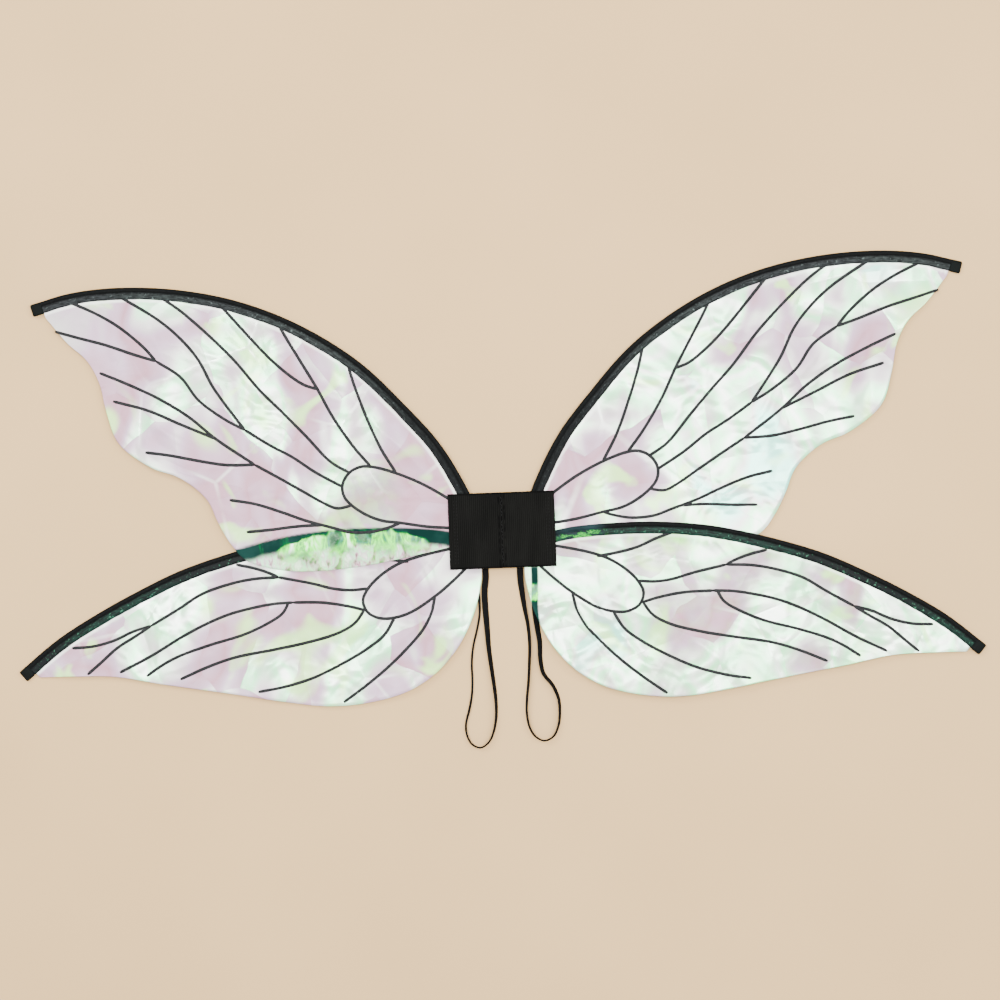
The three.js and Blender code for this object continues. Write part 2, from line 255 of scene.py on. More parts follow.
def squared_circle(count, power_across, power_up):
    """A circle of radius 1 as (across, up), squarer the smaller its powers."""
    made = []
    for k in range(count):
        a = 2 * math.pi * k / count
        c, s = math.cos(a), math.sin(a)
        made.append((math.copysign(abs(c) ** power_across, c), math.copysign(abs(s) ** power_up, s)))
    return made


def tangents(points):
    """A line's unit direction at each of its points."""
    t = np.gradient(points, axis=0)
    return t / np.linalg.norm(t, axis=1, keepdims=True)


def from_line(points, line):
    """How far each point is from a line, and the index of the line's nearest point."""
    far = np.linalg.norm(points[:, None, :2] - line[None, :, :2], axis=2)
    return far.min(1), far.argmin(1)


def noise_at(points, scale, seed):
    """Smooth noise, -1 to 1, whose lumps are about scale metres across."""
    return np.array([noise.noise(Vector((x / scale, y / scale, seed))) for x, y in points])


# ---- meshes ----
def new_mesh(name, points, faces, material):
    mesh = bpy.data.meshes.new(name)
    mesh.from_pydata([tuple(p) for p in points], [], faces)
    mesh.validate()
    mesh.polygons.foreach_set("use_smooth", [True] * len(mesh.polygons))
    mesh.materials.append(material)
    made = bpy.data.objects.new(name, mesh)
    bpy.context.scene.collection.objects.link(made)
    return made


def paint(piece, name, values):
    """A number for each vertex, which the piece's material reads."""
    attribute = piece.data.attributes.new(name, "FLOAT", "POINT")
    attribute.data.foreach_set("value", np.asarray(values, np.float32))


def grid_faces(rows, columns, wrap=False):
    """Quads over a grid of points given row by row, closed round each row where wrap is set."""
    faces = []
    for r in range(rows - 1):
        here, above = r * columns, (r + 1) * columns
        for c in range(columns if wrap else columns - 1):
            beside = (c + 1) % columns
            faces.append((here + c, here + beside, above + beside, above + c))
    return faces


def sheet_faces(rows, columns):
    """Faces of a closed sheet whose upper points, row by row, come before its lower ones."""
    count = rows * columns
    upper = grid_faces(rows, columns)
    rim = [r * columns for r in range(rows)] + [(rows - 1) * columns + c for c in range(1, columns)]
    rim += [r * columns + columns - 1 for r in range(rows - 2, -1, -1)] + list(range(columns - 2, 0, -1))
    lower = [tuple(i + count for i in reversed(f)) for f in upper]
    return upper + lower + [(a, b, b + count, a + count) for a, b in zip(rim, rim[1:] + rim[:1])]


def swept(sections):
    """Points and faces of a closed tube through rings of points, its ends closed by fans."""
    rings, sides = len(sections), len(sections[0])
    points = np.concatenate([*sections, [sections[0].mean(0)], [sections[-1].mean(0)]])
    faces = grid_faces(rings, sides, wrap=True)
    first, last = rings * sides, rings * sides + 1
    for c in range(sides):
        faces.append((first, (c + 1) % sides, c))
        faces.append((last, (rings - 1) * sides + c, (rings - 1) * sides + (c + 1) % sides))
    return points, faces


def face_out(piece):
    """Turns a closed mesh's faces outwards."""
    work = bmesh.new()
    work.from_mesh(piece.data)
    bmesh.ops.recalc_face_normals(work, faces=work.faces)
    work.to_mesh(piece.data)
    work.free()


def beads(name, starts, ends, radius, material):
    """Short stitches, each a thread that rises from its start and dips to its end."""
    sides, rings = BEAD_SIDES, BEAD_RINGS
    points, faces = [], []
    for a, b in zip(starts, ends):
        along = (b - a) / np.linalg.norm(b - a)
        across = np.array([-along[1], along[0], 0.0])
        base = len(points)
        for i in range(rings):
            t = i / (rings - 1)
            centre = a + (b - a) * t + np.array([0, 0, radius * (1.6 * math.sin(math.pi * t) - 0.6)])
            r = radius * (0.35 + 0.65 * math.sin(math.pi * t) ** 0.5)
            for wide, tall in squared_circle(sides, 1, 1):
                points.append(centre + across * r * wide + np.array([0, 0, r * tall]))
        faces += [tuple(base + i for i in f) for f in grid_faces(rings, sides, wrap=True)]
        faces.append(tuple(base + c for c in range(sides)))
        faces.append(tuple(base + (rings - 1) * sides + c for c in reversed(range(sides))))
    piece = new_mesh(name, points, faces, material)
    face_out(piece)
    return piece


# ---- materials ----
class Nodes:
    """A material's node tree, with short ways to add and join nodes."""

    def __init__(self, name):
        self.material = bpy.data.materials.new(name)
        self.material.use_nodes = True
        self.tree = self.material.node_tree
        self.tree.nodes.clear()
        self.shader = self.add("BsdfPrincipled")
        self.add("OutputMaterial", {"Surface": self.shader.outputs[0]})
        self.place = self.add("TexCoord").outputs["Object"]

    def add(self, kind, inputs=None, **settings):
        """A new node. Its inputs go by name or number, each a value or the output that feeds it."""
        node = self.tree.nodes.new("ShaderNode" + kind)
        for key, value in settings.items():
            setattr(node, key, value)
        for key, value in (inputs or {}).items():
            self.put(node.inputs[key], value)
        return node

    def put(self, socket, value):
        if isinstance(value, bpy.types.NodeSocket):
            self.tree.links.new(value, socket)
        else:
            socket.default_value = value

    def set(self, **values):
        """Values for the shader's own sockets, or the outputs that feed them."""
        for key, value in values.items():
            self.put(self.shader.inputs[key.replace("_", " ")], value)

    def noise(self, scale, detail=2.0, distortion=0.0, stretch=None, turn=0.0):
        """Noise, stretched in x and y where that is given, and turned about z."""
        place = self.place
        if stretch is not None:
            mapping = {"Vector": place, "Rotation": (0.0, 0.0, turn), "Scale": (*stretch, 1.0)}
            place = self.add("Mapping", mapping).outputs[0]
        inputs = {"Vector": place, "Scale": scale, "Detail": detail, "Distortion": distortion}
        return self.add("TexNoise", inputs).outputs["Fac"]

    def noise_over(self, place, stretch, detail):
        """Noise over a place other than the surface's own."""
        bent = self.add("VectorMath", {0: place, 1: stretch}, operation="MULTIPLY")
        return self.add("TexNoise", {"Vector": bent.outputs[0], "Scale": 1.0, "Detail": detail}).outputs["Fac"]

    def wave(self, scale, direction, distortion):
        inputs = {"Vector": self.place, "Scale": scale, "Distortion": distortion}
        return self.add("TexWave", inputs, bands_direction=direction).outputs["Fac"]

    def cells(self, scale):
        """A random colour for each of many cells with wavy edges."""
        wobble = self.add("TexNoise", {"Vector": self.place, "Scale": scale})
        shrunk = self.add("VectorMath", {0: wobble.outputs["Color"], "Scale": 0.35 / scale}, operation="SCALE")
        bent = self.add("VectorMath", {0: self.place, 1: shrunk.outputs[0]}, operation="ADD")
        return self.add("TexVoronoi", {"Vector": bent.outputs[0], "Scale": scale}).outputs["Color"]

    def creases(self, scale):
        """How far each spot is from the straight creases between flat facets."""
        inputs = {"Vector": self.place, "Scale": scale}
        return self.add("TexVoronoi", inputs, feature="DISTANCE_TO_EDGE").outputs["Distance"]

    def math(self, operation, a, b):
        return self.add("Math", {0: a, 1: b}, operation=operation).outputs[0]

    def times(self, a, b):
        return self.math("MULTIPLY", a, b)

    def weighted(self, *terms):
        """The sum of values, each times its weight."""
        total = None
        for value, weight in terms:
            part = value if weight == 1 else self.times(value, weight)
            total = part if total is None else self.math("ADD", total, part)
        return total

    def between(self, value, low, high):
        """An S-curve that is 0 at low and 1 at high, whichever of the two is larger."""
        inputs = {
            "Value": value, "From Min": min(low, high), "From Max": max(low, high),
            "To Min": float(low > high), "To Max": float(low < high),
        }
        return self.add("MapRange", inputs, interpolation_type="SMOOTHSTEP").outputs[0]

    def ramp(self, value, stops):
        node = self.add("ValToRGB", {"Fac": value})
        elements = node.color_ramp.elements
        while len(elements) < len(stops):
            elements.new(1.0)
        for element, (position, colour) in zip(elements, stops):
            element.position = position
            element.color = (*colour, 1.0)
        return node.outputs["Color"]

    def mix(self, share, *colours):
        """Two colours mixed."""
        a, b = (c if isinstance(c, bpy.types.NodeSocket) else (*c, 1.0) for c in colours)
        return self.add("Mix", {"Factor": share, 6: a, 7: b}, data_type="RGBA").outputs[2]

    def blend(self, share, a, b):
        """Two numbers mixed."""
        return self.add("Mix", {"Factor": share, "A": a, "B": b}, data_type="FLOAT").outputs[0]

    def painted(self, name):
        return self.add("Attribute", attribute_name=name).outputs["Fac"]

    def pair(self, first, second):
        """A place on the surface, from two distances painted on it."""
        return self.add("CombineXYZ", {"X": self.painted(first), "Y": self.painted(second)}).outputs[0]

    def grained(self, height, stops, strength, distance, **values):
        """Finishes a material whose colour and bump both follow one height."""
        self.set(Base_Color=self.ramp(height, stops), **values)
        self.bump(height, strength, distance)
        return self.material

    def bump(self, height, strength, distance):
        node = self.add("Bump", {"Strength": strength, "Distance": distance, "Height": height})
        self.set(Normal=node.outputs[0])


PINK = (0.42, 0.235, 0.285)
LILAC = (0.48, 0.35, 0.44)
PEARL = (0.54, 0.535, 0.49)
WHITE = (0.88, 0.94, 0.84)
MINT = (0.36, 0.95, 0.46)
AQUA = (0.34, 0.90, 0.70)
LEMON = (0.52, 0.98, 0.26)
TEAL = (0.007, 0.028, 0.023)
SLATE = (0.009, 0.022, 0.024)
FOREST = (0.001, 0.045, 0.014)
LEAF = (0.003, 0.12, 0.022)
GRASS = (0.035, 0.32, 0.03)
SPRING = (0.13, 0.84, 0.05)
TURQUOISE = (0.006, 0.15, 0.08)
BINDING_LOOK = {  # name, and the colours of the hem's film cover, its painted sheen streaks and its painted glint specks
    "upper": ("binding_grey_hem", (0.015, 0.017, 0.018), (0.018, 0.023, 0.022), (0.062, 0.080, 0.076)),
    "lower": ("binding_green_hem", (0.004, 0.006, 0.006), (0.005, 0.020, 0.014), (0.040, 0.14, 0.08)),
}


def film_material():
    """Thin iridescent film: soft pink and mint patches, with painted white highlights along creases and by the hem,
    painted green glare, and a painted dark teal reflection with painted glints where it lies on black.
    """
    n = Nodes("iridescent_film")
    facet = n.add("SeparateColor", {0: n.cells(15.0)})
    soft = n.noise(6.5, 1.0, 0.5)
    streak = n.noise(15.0, 2.0, 0.9, (1.0, 0.42), 0.6)
    arcs = n.noise(24.0, 1.0, 0.6, (0.4, 1.0), -0.5)
    share = n.weighted((soft, 0.44), (streak, 0.34), (arcs, 0.14), (facet.outputs[0], 0.07), (n.painted("tone"), 1))
    stops = [
        (0.33, PEARL), (0.38, LILAC), (0.44, PINK), (0.48, LILAC), (0.505, PEARL), (0.535, MINT), (0.56, WHITE),
        (0.59, MINT), (0.62, PEARL), (0.66, AQUA),
    ]
    colour = n.ramp(share, stops)
    lemon = n.between(n.noise(17.0, 2.0, 1.0), 0.58, 0.70)
    colour = n.mix(n.times(lemon, 0.7), colour, LEMON)
    ridge = n.creases(9.0)
    # painted highlight: thin white lines along the creases between the film's facets
    crease_highlight = n.times(n.between(ridge, 0.022, 0.002), n.between(n.noise(11.0, 1.0), 0.46, 0.62))
    colour = n.mix(n.times(crease_highlight, 0.5), colour, WHITE)
    # painted highlight: a white line on the film just past the hem's edge
    colour = n.mix(n.times(n.painted("border"), 0.7), colour, WHITE)
    fine = n.noise(140.0, 3.0, 0.3, (1.0, 0.55), 0.35)
    crinkle = n.painted("crinkle")
    crumb_stops = [
        (0.36, (0.05, 0.04, 0.03)), (0.42, PINK), (0.47, PEARL), (0.53, MINT), (0.59, PEARL), (0.66, WHITE),
    ]
    crumbs = n.ramp(fine, crumb_stops)
    colour = n.mix(n.times(crinkle, 0.8), colour, crumbs)
    # painted reflection: green glare on the film where the painted glint value is high, as round the arm loop's
    # strands
    painted_glare = n.times(n.painted("glow"), n.between(n.noise(70.0, 3.0, 0.3), 0.30, 0.50))
    colour = n.mix(painted_glare, colour, n.mix(n.between(n.noise(90.0, 3.0), 0.40, 0.62), SPRING, GRASS))
    # painted reflection and shade: where the film lies on black, its colour is painted dark teal and nearly opaque,
    # rather than the black showing through
    contact = n.painted("contact")
    # painted glints: where this value is high, bright green, mint and white reflections are painted over the black
    # beneath
    wisps = n.noise(75.0, 4.0, 0.6, (1.0, 0.35), 0.3)
    glow = n.weighted((n.painted("glow"), 1), (wisps, 1.1))
    painted_glint_share = n.between(glow, 0.74, 0.98)
    # colours of the painted reflections over black
    reflection_stops = [
        (0.32, FOREST), (0.37, LEAF), (0.41, TURQUOISE), (0.44, GRASS), (0.49, SPRING), (0.53, GRASS), (0.58, SPRING),
        (0.70, WHITE),
    ]
    painted_reflection = n.ramp(n.noise(80.0, 4.0, 0.5, (1.0, 0.4), 0.35), reflection_stops)
    # painted shade: dark teal, forest and leaf green over black where no glint is painted
    deep = n.mix(n.between(n.noise(40.0, 3.0), 0.35, 0.65), (0.003, 0.016, 0.013), TEAL)
    deep = n.mix(n.between(glow, 0.62, 0.80), deep, n.mix(n.between(n.noise(80.0, 2.0), 0.4, 0.6), FOREST, LEAF))
    over_black = n.mix(painted_glint_share, deep, painted_reflection)
    n.set(Base_Color=n.mix(contact, colour, over_black), Alpha=n.blend(contact, 0.88, 0.97))
    n.set(Roughness=n.blend(crease_highlight, 0.28, 0.18))
    shine = n.weighted((n.between(share, 0.47, 0.55), 0.92), (0.05, 1))
    shine = n.times(shine, n.math("SUBTRACT", 1.0, n.times(crinkle, 0.7)))
    n.set(Specular_IOR_Level=n.blend(contact, shine, n.times(painted_glint_share, 0.12)), IOR=2.0)
    n.set(Specular_Tint=n.mix(0.6, (1.0, 1.0, 1.0), colour))
    crumple = n.weighted(
        (n.noise(22.0, 2.0, 0.5), 1), (n.math("MINIMUM", ridge, 0.25), 1.2), (facet.outputs[1], 0.10),
        (n.times(fine, crinkle), 0.10),
    )
    n.bump(crumple, 0.9, 8.0 * MM)
    return n.material


def vein_material():
    n = Nodes("printed_vein")
    stops = [(0.35, (0.0075, 0.008, 0.0085)), (0.7, (0.017, 0.018, 0.0185))]
    return n.grained(n.noise(420.0, 3.0), stops, 0.2, 0.1 * MM, Roughness=0.6, Specular_IOR_Level=0.06)


def binding_material(name, cover_colour, sheen_colour, glint_colour):
    """Black tape round the wire, then a hem whose film cover has painted sheen streaks and painted glint specks, and,
    where painted, a film's reflection over the tape.
    """
    n = Nodes(name)
    hem = n.painted("hem")
    weave = n.noise(900.0, 2.0)
    streak = n.noise_over(n.pair("run", "reach"), (130.0, 900.0, 1.0), 3.0)
    tape = n.ramp(weave, [(0.3, (0.0012, 0.0014, 0.0014)), (0.75, (0.0045, 0.005, 0.005))])
    # painted sheen: lighter streaks along the hem's film cover
    sheen_colour = n.mix(n.between(n.noise(6.0, 1.0), 0.44, 0.56), cover_colour, sheen_colour)
    painted_sheen = n.mix(n.between(streak, 0.36, 0.62), (0.003, 0.004, 0.004), sheen_colour)
    # painted glints: bright specks on the hem's film cover
    glint_speck = n.between(n.noise(430.0, 3.0, 0.8), 0.60, 0.74)
    cover = n.mix(glint_speck, painted_sheen, glint_colour)
    # painted reflection: where this value is set, the tape is painted dark slate as seen through a film, with painted
    # green glints on its hem
    veil = n.painted("veil")
    under = n.mix(n.between(n.noise(60.0, 2.0, 0.5, (0.4, 1.0)), 0.30, 0.62), (0.003, 0.006, 0.007), SLATE)
    veil_glints = n.times(n.between(n.noise(260.0, 3.0, 0.4, (0.5, 1.0)), 0.46, 0.60), hem)
    veiled = n.mix(veil_glints, under, n.mix(n.between(weave, 0.4, 0.6), LEAF, GRASS))
    n.set(Base_Color=n.mix(veil, n.mix(hem, tape, cover), veiled))
    n.set(Roughness=n.blend(hem, 0.7, 0.4), Specular_IOR_Level=0.04)
    n.bump(n.math("ADD", weave, n.noise(210.0, 3.0)), 0.4, 0.35 * MM)
    return n.material


def webbing_material():
    """Ribbed black elastic webbing, its colour lighter and darker with its ribs, fibre and worn streaks."""
    n = Nodes("webbing")
    ribs = n.wave(170.0, "X", 0.6)
    weft = n.wave(330.0, "Y", 1.0)
    fibre = n.noise(1400.0, 3.0)
    worn = n.noise(70.0, 3.0, 0.6, (1.0, 0.25))
    shade = n.weighted((ribs, 0.3), (fibre, 0.3), (worn, 0.5))
    dark, light = (0.0016, 0.0016, 0.0015), (0.0056, 0.0056, 0.0050)
    n.set(Base_Color=n.mix(n.painted("seam"), n.ramp(shade, [(0.3, dark), (0.8, light)]), (0.0008,) * 3))
    n.set(Roughness=0.95, Specular_IOR_Level=0.03)
    n.bump(n.weighted((ribs, 1), (weft, 0.6), (fibre, 1)), 0.5, 0.3 * MM)
    return n.material


def thread_material():
    n = Nodes("black_thread")
    stops = [(0.3, (0.004,) * 3), (0.7, (0.012,) * 3)]
    return n.grained(n.noise(2600.0, 2.0), stops, 0.5, 0.08 * MM, Roughness=0.8, Specular_IOR_Level=0.06)


def elastic_material():
    """Flat braided elastic."""
    n = Nodes("braided_elastic")
    braid = n.times(n.wave(420.0, "DIAGONAL", 1.5), n.noise(1100.0, 2.0))
    stops = [(0.1, (0.0015,) * 3), (0.6, (0.006,) * 3)]
    return n.grained(braid, stops, 0.6, 0.25 * MM, Roughness=0.9, Specular_IOR_Level=0.04)


def steel_material():
    n = Nodes("drawn_steel_wire")
    drawn = n.noise(700.0, 3.0, 0.0, (1.0, 8.0))
    stops = [(0.3, (0.34, 0.34, 0.35)), (0.7, (0.55, 0.55, 0.57))]
    return n.grained(drawn, stops, 0.15, 0.05 * MM, Roughness=n.between(drawn, -0.4, 1.6), Metallic=1.0)


def vinyl_material():
    n = Nodes("soft_black_vinyl")
    scuff = n.noise(260.0, 4.0, 0.8)
    stops = [(0.35, (0.001, 0.0015, 0.0013)), (0.75, (0.0035, 0.005, 0.0045))]
    dull = n.between(scuff, -0.6, 1.4)
    return n.grained(scuff, stops, 0.35, 0.3 * MM, Roughness=dull, Specular_IOR_Level=0.04)


def floor_material():
    n = Nodes("plain_pale_floor")
    stops = [(0.3, (0.45, 0.284, 0.119)), (0.7, (0.48, 0.304, 0.129))]
    n.set(Base_Color=n.ramp(n.noise(5.0, 2.0), stops), Roughness=0.75)
    return n.material


FILM = film_material()
VEIN = vein_material()
BINDING = {which: binding_material(*look) for which, look in BINDING_LOOK.items()}
WEBBING = webbing_material()
THREAD = thread_material()
ELASTIC = elastic_material()
STEEL = steel_material()
VINYL = vinyl_material()


# ---- camera, floor and lights ----
def add_camera():
    data = bpy.data.cameras.new("camera")
    data.lens = CAMERA_LENS
    data.sensor_width = CAMERA_SENSOR
    camera = bpy.data.objects.new("camera", data)
    bpy.context.scene.collection.objects.link(camera)
    camera.location = (*CAMERA_AIM, VIEW_WIDTH * CAMERA_LENS / CAMERA_SENSOR)
    camera.rotation_euler = (0, 0, CAMERA_ROLL)
    bpy.context.scene.camera = camera


def add_floor():
    side = FLOOR_HALF_SIDE
    corners = [(-side, -side, 0), (side, -side, 0), (side, side, 0), (-side, side, 0)]
    floor = new_mesh("floor", corners, [(0, 1, 2, 3)], floor_material())
    floor.location.z = -FLOOR_DROP


def add_light(name, place, size, watts):
    data = bpy.data.lights.new(name, "AREA")
    data.shape = "RECTANGLE"
    data.size, data.size_y = size
    data.energy = watts
    light = bpy.data.objects.new(name, data)
    light.location = place
    light.rotation_euler = (-Vector(place)).to_track_quat("-Z", "Y").to_euler()
    light.visible_camera = False
    bpy.context.scene.collection.objects.link(light)


def add_world():
    world = bpy.data.worlds.new("studio")
    world.use_nodes = True
    background = world.node_tree.nodes["Background"]
    background.inputs["Color"].default_value = (1, 1, 1, 1)
    background.inputs["Strength"].default_value = WORLD_STRENGTH
    bpy.context.scene.world = world


add_camera()
add_floor()
for name, look in LIGHTS.items():
    add_light(name, *look)
add_world()


# ---- arm loops ----
def arm_loop(side):
    """A flat elastic that leaves the panel's lower edge lying flat, and turns onto its edge round the loop."""
    route = np.array(LOOPS[side]) * MM + PANEL_CENTRE
    edge = PANEL_BOTTOM - LOOP_GAP
    route = np.vstack([[route[0][0], edge], route, [route[-1][0], edge]])
    line = spaced(through(route), LOOP_STEPS)
    share = np.linspace(0, 1, len(line))
    turn = softened(np.radians(np.interp(share, *np.array(LOOP_TWIST[side]).T)))
    roll = softened(np.interp(share, *np.array(LOOP_ROLL[side]).T))
    sewn_height = np.mean(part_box(f"strap_end_{side}_1"), axis=0)[2]
    half_width = STRAP_WIDTH / 2 * (1 - roll) + ROLLED_HALF_WIDTH * roll
    half_thickness = STRAP_THICKNESS / 2 * (1 - roll) + ROLLED_HALF_THICKNESS * roll
    rest = half_width * np.sin(turn) + half_thickness * np.cos(turn) + 0.1 * MM
    from_end = np.minimum(share, 1 - share)
    height = rest + (sewn_height - rest) * (1 - smooth(from_end, 0.0, 0.10))
    centre = np.column_stack([line, height])
    along = tangents(centre)
    flat = np.column_stack([-along[:, 1], along[:, 0], np.zeros(len(along))])
    flat /= np.linalg.norm(flat, axis=1, keepdims=True)
    up = np.cross(along, flat)
    wide = flat * np.cos(turn)[:, None] + up * (SIGN[side] * np.sin(turn))[:, None]
    thin = np.cross(along, wide)
    outline = squared_circle(LOOP_SIDES, 0.35, 0.6)
    rings = [
        centre[i] + np.array([w * half_width[i] * wide[i] + t * half_thickness[i] * thin[i] for w, t in outline])
        for i in range(len(centre))
    ]
    piece = new_mesh(f"arm_loop_elastic_{side}", *swept(rings), ELASTIC)
    face_out(piece)
    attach(piece, f"{side}_half")
    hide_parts(f"arm_loop_{side}")
    return line


LOOP_LINES = {side: arm_loop(side) for side in SIGN}


# ---- wings ----
def top_outline(node):
    """The outline of a flat node's upper face, in order, as x and y."""
    mesh = frame["nodes"][node].data
    index, edges = {}, set()
    for polygon in mesh.polygons:
        if polygon.normal.z < 0.9:
            continue
        keys = [tuple(round(c, 6) for c in mesh.vertices[i].co) for i in polygon.vertices]
        corners = [index.setdefault(k, len(index)) for k in keys]
        edges.update(zip(corners, corners[1:] + corners[:1]))
    points = np.array(list(index))[:, :2]
    following = {a: b for a, b in edges if (b, a) not in edges}
    start = min(following)
    order = [start]
    while following[order[-1]] != start:
        order.append(following[order[-1]])
    return points[order]


def root_first(run):
    """The run, starting from its end that is nearer the seam."""
    return run if abs(run[0][0]) < abs(run[-1][0]) else run[::-1]


def between_runs(runs, first, last):
    """The runs of a closed outline that come after one and before another."""
    count = len(runs)
    return [runs[(first + 1 + k) % count] for k in range((last - first - 1) % count)]


class Wing:
    """One wing's plane, outline and film surface, all read from the frame."""

    def __init__(self, which, side):
        self.which, self.name = which, f"{which}_{side}"
        self.sign = SIGN[side]
        joint = next(j for j in frame["joints"] if j["name"] == self.name + "_swing")
        self.eye = np.array(joint["pos_m"])
        self.normal = np.array(joint["axis"]) * math.copysign(1, joint["axis"][2])
        self.seed = WING_SEED[self.name]
        self.read_outline()

    def read_outline(self):
        """The outline's sharp corners cut it into runs. The two longest are the film's leading and trailing edges,
        and the runs between them on the seam's side are its root. The wire's line stands off the leading edge."""
        loop = top_outline("film_" + self.name)
        step = np.roll(loop, -1, axis=0) - loop
        heading = np.arctan2(step[:, 1], step[:, 0])
        turn = (heading - np.roll(heading, 1) + math.pi) % (2 * math.pi) - math.pi
        corners = np.flatnonzero(np.abs(turn) > OUTLINE_CORNER)
        loop = np.roll(loop, -corners[0], axis=0)
        cuts = [*(corners - corners[0]), len(loop)]
        closed = np.vstack([loop, loop[:1]])
        runs = [closed[a : b + 1] for a, b in zip(cuts, cuts[1:])]
        lengths = [steps_of(r).sum() for r in runs]
        first, second = sorted(np.argsort(lengths)[-2:], key=lambda i: -runs[i][:, 1].mean())
        self.leading = root_first(runs[first])
        self.trailing = root_first(runs[second])
        sides = [between_runs(runs, first, second), between_runs(runs, second, first)]
        near = [np.abs(np.vstack(s)[:, 0]).mean() if s else math.inf for s in sides]
        root = np.vstack(sides[int(np.argmin(near))])
        if np.linalg.norm(root[0] - self.leading[0]) > np.linalg.norm(root[-1] - self.leading[0]):
            root = root[::-1]
        self.root = root
        inside = self.leading.mean(0) - loop.mean(0)
        along = tangents(self.leading)
        across = np.column_stack([-along[:, 1], along[:, 0]])
        across *= math.copysign(1, (across.mean(0) * inside).sum())
        spar = through(self.leading + across * FILM_FROM_WIRE, 6)
        end = (spar[-1] - spar[-3]) / np.linalg.norm(spar[-1] - spar[-3])
        self.spar = spaced(np.vstack([spar, spar[-1] + end * SPAR_PAST_FILM]), SPAR_STEPS)
        self.area = 0.5 * abs(np.sum(loop[:, 0] * np.roll(loop[:, 1], -1) - loop[:, 1] * np.roll(loop[:, 0], -1)))
        self.size = np.ptp(loop, axis=0)

    def plane(self, points):
        """The height of the wing's plane over points in x and y."""
        offset = np.asarray(points)[:, :2] - self.eye[:2]
        return self.eye[2] - offset @ self.normal[:2] / self.normal[2]

    def lift(self, points):
        """How far the film stands above its plane: soft folds that spread from the root, and shallow dimples."""
        offset = np.asarray(points)[:, :2] - self.eye[:2]
        far = np.linalg.norm(offset, axis=1)
        angle = np.arctan2(offset[:, 1], offset[:, 0] * self.sign)
        fan = np.column_stack([angle * 0.22, far * 0.35])
        folds = 1 - 2.2 * np.abs(noise_at(fan, 0.045, self.seed))
        dimples = noise_at(points, 0.055, self.seed + 40)
        swells = noise_at(points, 0.13, self.seed + 80)
        raw = FOLD_HEIGHT * np.clip(folds, 0, 1) ** 2 + DIMPLE_HEIGHT * np.clip(dimples + 0.3, 0, 1)
        raw += SWELL_HEIGHT * np.clip(swells + 0.2, 0, 1)
        from_spar, _ = from_line(points, self.spar[::3])
        held = smooth(from_spar, 5 * MM, 30 * MM) * smooth(far, 30 * MM, 90 * MM)
        height = np.asarray(points)[:, 1] - PANEL_CENTRE[1]
        stacked = (1 - smooth(far, 280 * MM, 340 * MM)) * smooth(height, -80 * MM, -55 * MM)
        stacked *= 1 - smooth(height, 30 * MM, 90 * MM)
        return raw * held * (1 - STACKED_LOSS * stacked) * MM

    def surface(self, points):
        points = np.asarray(points, float)[:, :2]
        return np.column_stack([points, self.plane(points) + self.lift(points)])

    def lay(self, design):
        """Design points, in millimetres, as they lie in the frame: drawn out, bowed and turned about the eye."""
        turn, reach, bow = LIE[self.name]
        eye = (self.eye[:2] - PANEL_CENTRE) / MM * (self.sign, 1)
        chord = np.array(TIP[self.which]) - eye
        length = np.linalg.norm(chord)
        along = chord / length
        out = np.array([-along[1], along[0]])
        offset = np.asarray(design, float) - eye
        far = offset @ along
        side = offset @ out + bow * np.sin(math.pi * np.clip(far / length, 0, 1))
        laid = np.outer(far * reach, along) + np.outer(side, out)
        c, s = math.cos(math.radians(turn)), math.sin(math.radians(turn))
        laid = laid @ np.array([[c, s], [-s, c]]) + eye
        return laid * (self.sign * MM, MM) + PANEL_CENTRE


def film_skin(wing, others):
    """The film: a patch between its four edges, rippled, with its thickness."""
    across, along = FINE_GRID if wing.name in ("upper_left", "lower_right") else COARSE_GRID
    leading = spaced(through(wing.leading, 6), along)
    trailing = spaced(through(wing.trailing, 6), along)
    root = spaced(wing.root, across)
    tip = spaced(np.array([wing.leading[-1], wing.trailing[-1]]), across)
    s = np.linspace(0, 1, along)[:, None, None]
    t = np.linspace(0, 1, across)[None, :, None]
    corners = (1 - s) * (1 - t) * leading[0] + s * (1 - t) * leading[-1]
    corners = corners + (1 - s) * t * trailing[0] + s * t * trailing[-1]
    patch = (1 - t) * leading[:, None] + t * trailing[:, None] + (1 - s) * root[None] + s * tip[None] - corners
    flat = patch.reshape(-1, 2)
    top = wing.surface(flat)
    half = np.array([0, 0, FILM_THICKNESS / 2])
    points = np.vstack([top + half, top - half])
    piece = new_mesh("film_skin_" + wing.name, points, sheet_faces(along, across), FILM)
    face_out(piece)
    for name, values in overlap(wing, flat, others).items():
        paint(piece, name, np.tile(values, 2))
    from_eye = np.linalg.norm(flat - wing.eye[:2], axis=1)
    tone = TONE[wing.name] - (wing.name == "upper_left") * 0.04 * smooth(from_eye, 200 * MM, 320 * MM)
    paint(piece, "tone", np.tile(tone, 2))
    # Painted highlight: how strongly the film is whitened along a line just past the hem's edge.
    from_spar, _ = from_line(flat, wing.spar[::2])
    past_hem = np.abs(from_spar - HEM_REACH - 1.0 * MM)
    paint(piece, "border", np.tile(1 - smooth(past_hem, 0.5 * MM, 2.4 * MM), 2))
    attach(piece, wing.name + "_wing")
    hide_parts("film_" + wing.name)
    return piece


